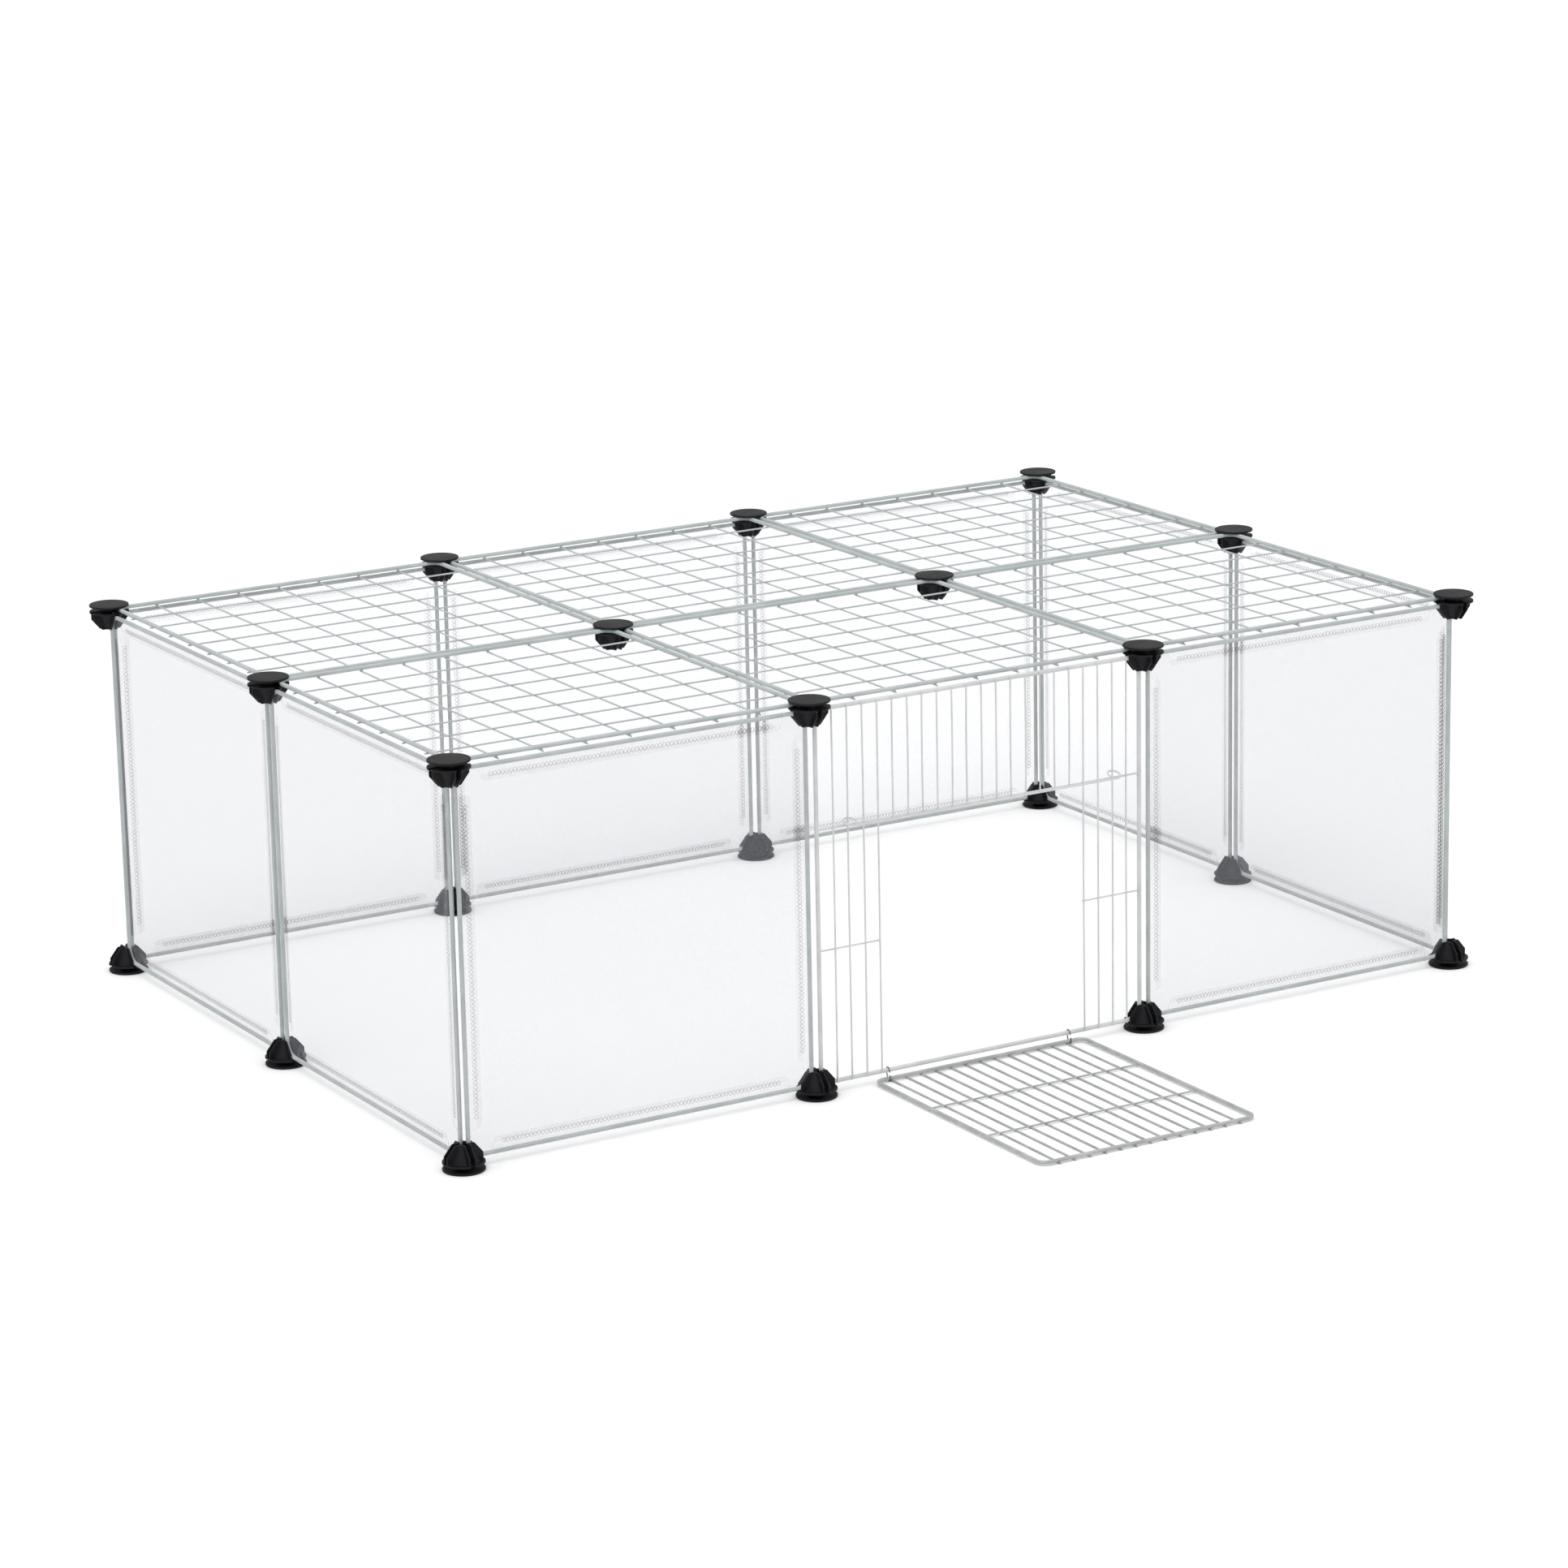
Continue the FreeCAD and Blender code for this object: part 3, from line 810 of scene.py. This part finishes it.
@dataclass(frozen=True)
class FilmWall:
    """Film stretched on a frame wire: its four edges wrap the wire and are welded to the sheet.

    Distances from the wire run inwards, from the wire's centre.
    """

    half: float
    wire: float = 0.0020
    thickness: float = 0.0004
    sleeve: float = 0.0023
    bare: float = 0.0240
    seam: float = 0.00875
    tab_middle: float = 0.0110
    tab: float = 0.0140
    tab_round: float = 0.0050
    wrap_points: int = 15
    sheet_points: int = 29
    corner_round: float = 0.0140
    mark_start: float = 0.0340
    mark_step: float = 0.00385
    mark_size: tuple[float, float] = (0.0015, 0.0021)
    mark_wire: tuple[float, float] = (0.00034, 0.00026)
    billow: float = 0.0003

    def sheet(self) -> Surface:
        """Return the flat sheet between the seams, with its round ears in the panel's corners.

        It is a grid of (u, v), lifted by billow * cos(pi u / 2h) * cos(pi v / 2h) * sin(3 u / h + 2 v / h).
        A corner's square of points is drawn in to a quarter disc: a point (x, y) from the square's
        inner corner moves to (x, y) * max(x, y) / length(x, y).
        """
        edge = self.half - self.sleeve
        ear = edge - np.array([0.0, 0.0015, 0.0035, self.seam - self.sleeve, 0.0100, self.corner_round])
        inner = np.linspace(-(self.half - self.bare), self.half - self.bare, self.sheet_points)
        line = np.concatenate([-ear, inner, ear[::-1]])
        u, v = np.meshgrid(line, line, indexing="ij")
        start = edge - self.corner_round
        x, y = np.maximum(np.abs(u) - start, 0), np.maximum(np.abs(v) - start, 0)
        shrink = np.where((x > 0) & (y > 0), np.maximum(x, y) / np.maximum(np.hypot(x, y), 1e-9), 1.0)
        round_u = np.where(x > 0, np.sign(u) * (start + x * shrink), u)
        round_v = np.where(y > 0, np.sign(v) * (start + y * shrink), v)
        window = np.cos(math.pi * u / (2 * self.half)) * np.cos(math.pi * v / (2 * self.half))
        lift = self.billow * window * np.sin(3 * u / self.half + 2 * v / self.half)
        points = np.stack([round_u, round_v, lift], axis=-1).reshape(-1, 3)
        quads = grid_quads(len(line), len(line))[:, ::-1]
        middle = np.stack([u.ravel(), v.ravel()], axis=1)[quads].mean(axis=1)
        far = np.abs(middle) > self.half - self.seam
        beside = np.abs(middle) < self.half - self.bare
        in_hem = (far[:, 0] & beside[:, 1]) | (far[:, 1] & beside[:, 0])
        return Surface(points, (quads[~in_hem],))

    def hem(self) -> Surface:
        """Return the hem along the lower side: from the seam round the wire, and back to the tab.

        The section leaves the seam in a straight line that touches the sleeve's circle at the angle
        acos(sleeve / seam), follows the circle, and returns to the seam; the tab goes on inwards,
        and its end is rounded off by tab_round.
        """
        touch = math.acos(self.sleeve / self.seam)
        turn = np.linspace(-touch, touch - 2 * math.pi, self.wrap_points)
        rise = self.thickness * 1.05
        flap = [self.seam, self.tab_middle, self.tab]
        inward = np.concatenate([[self.seam], self.sleeve * np.cos(turn), flap])
        lift = np.concatenate([[0.0], self.sleeve * np.sin(turn), [rise, rise, rise]])
        end = self.half - self.bare
        near = self.tab_round * (1 - np.cos(np.linspace(0, math.pi / 2, 7)))
        along = np.concatenate([near - end, np.linspace(-end, end, 13)[1:-1] * 0.96, (end - near)[::-1]])
        to_end = np.minimum(end - np.abs(along), self.tab_round)
        cut = self.tab_round - np.sqrt(np.maximum(self.tab_round**2 - (self.tab_round - to_end) ** 2, 0))
        past_seam = np.arange(len(inward)) > self.wrap_points + 1
        on_tab = np.clip((inward - self.seam) / (self.tab - self.seam), 0, 1) * past_seam
        depth = inward[None, :] - cut[:, None] * on_tab[None, :]
        u = np.broadcast_to(along[:, None], depth.shape)
        points = np.stack([u, depth - self.half, np.broadcast_to(lift, depth.shape)], axis=-1).reshape(-1, 3)
        return Surface(points, (grid_quads(len(along), len(inward))[:, ::-1],), 1)

    def marks(self) -> Surface:
        """Return the weld marks of the lower seam: a row of small oval rings, each a closed torus."""
        around, sides = 12, 4
        ring = np.linspace(0, 2 * math.pi, around, endpoint=False)[:, None]
        turn = np.linspace(0, 2 * math.pi, sides, endpoint=False)[None, :] + math.pi / 4
        along = (self.mark_size[0] + self.mark_wire[0] * np.cos(turn)) * np.cos(ring)
        across = (self.mark_size[1] + self.mark_wire[0] * np.cos(turn)) * np.sin(ring)
        lift = self.mark_wire[1] * np.sin(turn) + 0 * ring
        points = np.stack([along, across, lift], axis=-1).reshape(-1, 3)
        template = Surface(points, (grid_quads(around, sides, wrap_rows=True, wrap_columns=True),))
        reach = self.half - self.mark_start
        count = int(2 * reach / self.mark_step) + 1
        places = (np.arange(count) - (count - 1) / 2) * self.mark_step
        level = np.full(count, self.thickness / 2)
        return repeated(template, np.column_stack([places, np.full(count, self.seam - self.half), level]))

    def build_film(self, node: str, name: str, place: Place, materials: list[bpy.types.Material]) -> None:
        """Build the film's sheet with its hems, and its welded seams as pieces of one film.

        Args:
            node: The film's node.
            name: Name of the film's piece.
            place: The panel's local frame.
            materials: The film, the film in the hems and the welded film.
        """
        hems = [quarter_turned(self.hem(), quarter) for quarter in range(4)]
        film = make_piece(name, [place.put(part) for part in (self.sheet(), *hems)], materials[:2], node)
        thick = film.modifiers.new("film_thickness", "SOLIDIFY")
        thick.thickness = self.thickness
        thick.offset = 0.0
        seams = [place.put(quarter_turned(self.marks(), quarter)) for quarter in range(4)]
        make_piece(f"{name}_seams", seams, materials[2:], node)

    def build_frame(self, node: str, name: str, place: Place, material: bpy.types.Material) -> None:
        """Build the frame wire of the wall.

        Args:
            node: The frame's node.
            name: Name of the new piece.
            place: The panel's local frame.
            material: The coat.
        """
        parts = WireFrame(self.half, self.wire).ring()
        make_piece(name, [place.put(part) for part in parts], [material], node)


@dataclass(frozen=True)
class DoorPanel:
    """Front panel with the doorway: frame wire, uprights in front of it, and cross wires behind them."""

    half: float
    spaces: int = 22
    doorway: tuple[int, int] = (4, 18)
    thin: float = 0.0008
    sink: float = 0.0004
    upright_end: float = 0.0015
    crossbar: float = 0.0010
    crossbar_level: float = 0.2360
    side_level: float = 0.1240
    bow: float = 0.0005
    weld: tuple[float, float, float] = (0.00105, 0.00125, 0.0006)

    def upright(self, index: int) -> float:
        """Return an upright's place across the panel, counted from the left frame wire."""
        return 2 * self.half * (index / self.spaces - 0.5)

    def surfaces(self) -> list[Surface]:
        """Return the panel's surfaces in local coordinates, the frame wire's plane at zero.

        Upright i bows by bow * sin(2.3 i + 0.4).
        """
        outline = WireFrame(self.half)
        face = outline.radius + self.thin - self.sink
        first, last = self.doorway
        parts = outline.ring()
        joints = []
        bar = -self.half + self.crossbar_level
        side = -self.half + self.side_level
        for index in range(1, self.spaces):
            across = self.upright(index)
            short = first < index < last
            foot = (bar if short else -self.half) - self.upright_end
            top = self.half + self.upright_end
            bow = self.bow * math.sin(2.3 * index + 0.4)
            start, end = (across, foot, face), (across, top, face)
            parts.append(straight_wire(start, end, self.thin, (1, 0, 0), bow=bow))
            joints += [(across, self.half), (across, bar)]
            if not short:
                joints += [(across, -self.half), (across, side)]
        behind = face - self.thin - self.crossbar + self.sink
        start, end = (-self.half, bar, behind), (self.half, bar, behind)
        parts.append(straight_wire(start, end, self.crossbar, (0, 1, 0), sides=12))
        cross = face - 2 * self.thin + self.sink
        left = self.upright(first) + self.upright_end
        right = self.upright(last) - self.upright_end
        parts.append(straight_wire((-self.half, side, cross), (left, side, cross), self.thin, (0, 1, 0)))
        parts.append(straight_wire((right, side, cross), (self.half, side, cross), self.thin, (0, 1, 0)))
        middle = np.column_stack([np.array(joints), np.full(len(joints), face - self.thin)])
        parts.append(repeated(bead(self.weld), middle))
        return parts

    def build(self, node: str, name: str, material: bpy.types.Material) -> bpy.types.Object:
        """Build the panel where its node is.

        Args:
            node: The panel's node.
            name: Name of the new piece.
            material: The coat.

        Returns:
            The new piece.
        """
        low, high = node_box(node)
        middle = (low + high) / 2
        origin = np.array([middle[0], high[1] - WireFrame(self.half).radius, middle[2]])
        place = Place(origin, np.array([[1.0, 0, 0], [0, 0, 1.0], [0, -1.0, 0]]))
        return make_piece(name, [place.put(part) for part in self.surfaces()], [material], node)


@dataclass(frozen=True)
class Door:
    """Door leaf: a frame wire, long wires welded under it, and two cross wires on those."""

    radius: float = 0.00175
    corner: float = 0.0090
    wires: int = 13
    step: float = 0.0159
    thin: float = 0.0009
    sink: float = 0.0006
    overhang: float = 0.0014
    bow: float = 0.0006
    cross_bow: float = 0.0004
    weld: tuple[float, float, float] = (0.00112, 0.0014, 0.0007)

    def build(self, node: str, name: str, materials: list[bpy.types.Material]) -> bpy.types.Object:
        """Build the door where its node is, open on the floor; wire i bows by bow * sin(1.9 i + 1).

        Args:
            node: The door's node.
            name: Name of the new piece.
            materials: The coat, a darker copy of the white coat as painted shade, and the coated weld.

        Returns:
            The new piece.
        """
        low, high = node_box(node)
        half_width = (high[0] - low[0]) / 2 - self.radius
        half_length = (high[1] - low[1]) / 2 - self.radius - self.overhang
        path = rounded_rectangle(half_width, half_length, self.corner)
        parts = [tube(path, self.radius, (0, 0, 1), sides=FRAME_WIRE_SIDES, closed=True)]
        wire_level = self.sink - self.radius - self.thin
        reach = half_length + self.radius + self.overhang
        joints = []
        cross_places = [2 * half_length * (third / 3 - 0.5) for third in (1, 2)]
        for index in range(self.wires):
            across = self.step * (index - (self.wires - 1) / 2)
            bow = self.bow * math.sin(1.9 * index + 1.0)
            start, end = (across, -reach, wire_level), (across, reach, wire_level)
            parts.append(straight_wire(start, end, self.thin, (1, 0, 0), bow=bow))
            joints += [(across, place) for place in (-half_length, *cross_places, half_length)]
        cross_level = wire_level + 2 * self.thin - self.sink
        for place in cross_places:
            start, end = (-half_width, place, cross_level), (half_width, place, cross_level)
            parts.append(straight_wire(start, end, self.thin, (0, 1, 0), bow=self.cross_bow))
        middle = np.column_stack([np.array(joints), np.full(len(joints), wire_level + self.thin * 0.8)])
        parts.append(repeated(bead(self.weld, finish=1), middle))
        origin = np.array([*((low + high) / 2)[:2], high[2] - self.radius])
        leaf = Place(origin, np.eye(3))
        return make_piece(name, [leaf.put(part) for part in parts], materials, node)


@dataclass(frozen=True)
class HingeRing:
    """Open wire ring round the panel's bottom wire and the door's hinge wire."""

    wire: float = 0.00055
    bend: float = 0.0026
    length: float = 0.0076
    opening: float = 0.0024
    reach: float = 0.0020
    drop: float = 0.00765

    def build(self, node: str, name: str, axis: np.ndarray, material: bpy.types.Material) -> bpy.types.Object:
        """Build the ring: two half rounds and the straight runs between them, open in front.

        Args:
            node: The ring's node.
            name: Name of the new piece.
            axis: A point on the bottom wire's centre line.
            material: The plated wire.

        Returns:
            The new piece.
        """
        half_turn = np.linspace(0, math.pi, 13)
        over = np.stack([self.bend * np.cos(half_turn), self.bend * np.sin(half_turn)], axis=1)
        under = np.stack([-over[:, 0], -over[:, 1] - self.length], axis=1)
        stub = (self.length - self.opening) / 2
        ends = np.array([[-self.bend, -stub], [-self.bend, -self.length + stub]])
        path = np.concatenate([ends[1:], under, over, ends[:1]])
        low, high = node_box(node)
        lean = math.atan2(self.reach, self.drop)
        y = path[:, 0] * math.cos(lean) + path[:, 1] * math.sin(lean)
        z = path[:, 1] * math.cos(lean) - path[:, 0] * math.sin(lean)
        middle = np.array([(low[0] + high[0]) / 2, axis[1], axis[2]])
        points = middle + np.stack([np.zeros_like(y), y, z], axis=1)
        return make_piece(name, [tube(points, self.wire, (1, 0, 0), sides=10)], [material], node)


@dataclass(frozen=True)
class Latch:
    """Sliding latch bar: one wire with a loop at each end round an upright."""

    wire: float = 0.0008
    loop: float = 0.0060
    turn: float = math.radians(338)
    lift: float = 0.0034
    end_rise: float = 0.0019
    loop_points: int = 40

    def build(self, node: str, name: str, material: bpy.types.Material) -> bpy.types.Object:
        """Build the latch as one path: loop, bar, loop.

        A loop's points are centre + loop * (cos a, sin a) in plan.  Over the share s of its turn it
        rises by lift * sin(pi s)^2 + end_rise * s, so its free end crosses over the bar.

        Args:
            node: The latch's node.
            name: Name of the new piece.
            material: The coat.

        Returns:
            The new piece.
        """
        low, high = node_box(node)
        reach = (high[0] - low[0]) / 2 - self.loop - self.wire
        share = np.linspace(1, 0, self.loop_points)
        angle = -math.pi / 2 - self.turn * share
        left = np.stack([
            -reach + self.loop * np.cos(angle),
            self.loop * np.sin(angle),
            self.lift * np.sin(math.pi * share) ** 2 + self.end_rise * share,
        ], axis=1)
        right = left[::-1] * np.array([-1.0, 1.0, 1.0])
        path = np.concatenate([left, right])
        middle = np.array([(low[0] + high[0]) / 2, low[1] + self.wire + self.loop, low[2] + self.wire])
        return make_piece(name, [tube(middle + path, self.wire, (0, 0, 1), sides=12)], [material], node)


# ---------------------------------------------------------------------------------------------
# Stage
# ---------------------------------------------------------------------------------------------


@dataclass(frozen=True)
class Studio:
    """Plain pale floor, soft light and the camera."""

    azimuth: float = math.radians(-30.49)
    elevation: float = math.radians(15.00)
    roll: float = math.radians(-1.18)
    lens: float = 119.0
    place: tuple[float, float, float] = (-2.4415, -4.0246, 1.4749)
    floor_half: float = 40.0
    floor_level: float = -0.0002
    floor_colour: tuple[float, float, float, float] = (0.93, 0.93, 0.935, 1)
    horizon: float = 0.45
    zenith: float = 1.0
    zenith_starts: float = 0.7
    overhead: float = 1.1
    overhead_angle: float = math.radians(50)
    light_from: tuple[float, float, float] = (-0.25, -0.3, 1.0)

    def floor(self) -> None:
        """Lay the floor."""
        mesh = bpy.data.meshes.new("floor")
        side, level = self.floor_half, self.floor_level
        corners = [(-side, -side, level), (side, -side, level), (side, side, level), (-side, side, level)]
        mesh.from_pydata(corners, [], [(0, 1, 2, 3)])
        material = bpy.data.materials.new("floor")
        material.use_nodes = True
        shader = material.node_tree.nodes["Principled BSDF"]
        shader.inputs["Base Color"].default_value = self.floor_colour
        shader.inputs["Roughness"].default_value = 0.9
        mesh.materials.append(material)
        floor = bpy.data.objects.new("floor", mesh)
        bpy.context.scene.collection.objects.link(floor)

    def light(self) -> None:
        """Hang the main light: even over the whole floor, and as soft as a large lamp overhead."""
        data = bpy.data.lights.new("overhead", "SUN")
        data.energy = self.overhead
        data.angle = self.overhead_angle
        lamp = bpy.data.objects.new("overhead", data)
        towards = unit(-np.array(self.light_from))
        side = unit(np.cross(towards, (0, 1, 0)))
        above = np.cross(side, towards)
        lamp.matrix_world = basis_matrix(side, above, -towards, (0.0, 0.0, 3.0))
        bpy.context.scene.collection.objects.link(lamp)

    def world(self) -> None:
        """Fill the surroundings with a white light that fades from overhead to the horizon."""
        world = bpy.data.worlds.new("studio")
        world.use_nodes = True
        nodes = world.node_tree.nodes
        where = nodes.new("ShaderNodeTexCoord")
        parts = nodes.new("ShaderNodeSeparateXYZ")
        height = nodes.new("ShaderNodeMapRange")
        height.inputs["To Min"].default_value = self.horizon
        height.inputs["To Max"].default_value = self.zenith
        height.inputs["From Max"].default_value = self.zenith_starts
        background = nodes["Background"]
        background.inputs["Color"].default_value = (1.0, 1.0, 1.0, 1)
        connect(world.node_tree, [
            (where, "Generated", parts, "Vector"),
            (parts, "Z", height, "Value"),
            (height, "Result", background, "Strength"),
        ])
        bpy.context.scene.world = world

    def camera(self) -> None:
        """Stand the camera at the front left, above the roof, rolled slightly."""
        a, e, r = self.azimuth, self.elevation, self.roll
        back = np.array([math.sin(a) * math.cos(e), -math.cos(a) * math.cos(e), math.sin(e)])
        right = unit(np.cross(-back, (0, 0, 1)))
        up = np.cross(right, -back)
        rolled_right = math.cos(r) * right + math.sin(r) * up
        rolled_up = math.cos(r) * up - math.sin(r) * right
        data = bpy.data.cameras.new("camera")
        data.lens = self.lens
        data.sensor_width = 36.0
        data.clip_end = 200.0
        camera = bpy.data.objects.new("camera", data)
        camera.matrix_world = basis_matrix(rolled_right, rolled_up, back, self.place)
        bpy.context.scene.collection.objects.link(camera)
        bpy.context.scene.camera = camera

    def set_up(self) -> None:
        """Build the whole stage."""
        self.floor()
        self.world()
        self.light()
        self.camera()
        bpy.context.scene.view_settings.view_transform = "Standard"


def basis_matrix(
    right: np.ndarray, up: np.ndarray, back: np.ndarray, place: tuple[float, float, float]
) -> Matrix:
    """Return a lamp's or camera's matrix.

    Args:
        right: Its X axis.
        up: Its Y axis.
        back: Its Z axis, against the direction in which it looks.
        place: Where it stands.

    Returns:
        The matrix with the axes and the place as its columns.
    """
    matrix = np.eye(4)
    matrix[:3, 0], matrix[:3, 1], matrix[:3, 2], matrix[:3, 3] = right, up, back, place
    return Matrix(matrix.tolist())


def main() -> None:
    """Build every piece in order, then the stage."""
    logging.basicConfig(level=logging.INFO, format="%(name)s: %(message)s")
    mottle_group()
    grain_group()
    grey, white, bright = GREY_COAT.material(), WHITE_COAT.material(), BRIGHT_WIRE.material()
    plastic, weld = BLACK_PLASTIC.material(), WELD_COAT.material()
    films = [FROSTED_FILM.material(), FOLDED_FILM.material(), WELDED_FILM.material()]

    nodes = sorted(frame["nodes"])
    low, high = node_box("top_connector_front_1")
    connector = Connector(disc_radius=(high[0] - low[0]) / 2, height=high[2] - low[2])
    for node in (name for name in nodes if "connector" in name):
        connector.build(node, node.replace("connector", "clip"), plastic)

    low, high = node_box("wall_frame_front_left")
    half = (high[0] - low[0]) / 2 - WireFrame.radius
    for node in (name for name in nodes if name.startswith("roof_grid")):
        RoofGrid(half).build(node, node.replace("roof_grid", "roof_mesh"), [grey, weld])

    back_high = node_box("wall_frame_back_middle")[1]
    pen_middle = np.array([0.0, (low[1] + back_high[1]) / 2])
    wall = FilmWall(half)
    for node in (name for name in nodes if name.startswith("wall_frame")):
        side = node.removeprefix("wall_frame_")
        place = upright_place(node, pen_middle)
        wall.build_frame(node, f"frame_wire_{side}", place, grey)
        wall.build_film(f"wall_film_{side}", f"film_{side}", place, films)

    DoorPanel(half).build("door_panel", "doorway_panel", white)
    Door().build("door", "door_leaf", [SHADED_DOOR_COAT.material(), weld])
    wire_low, wire_high = node_box("door_panel")
    bottom_wire = np.array([0.0, wire_high[1] - WireFrame.radius, wire_low[2] + WireFrame.radius])
    for side in ("left", "right"):
        HingeRing().build(f"hinge_ring_{side}", f"hinge_wire_{side}", bottom_wire, bright)
    Latch().build("latch_bar", "latch_wire", white)

    Studio().set_up()


if __name__ == "__main__":
    main()
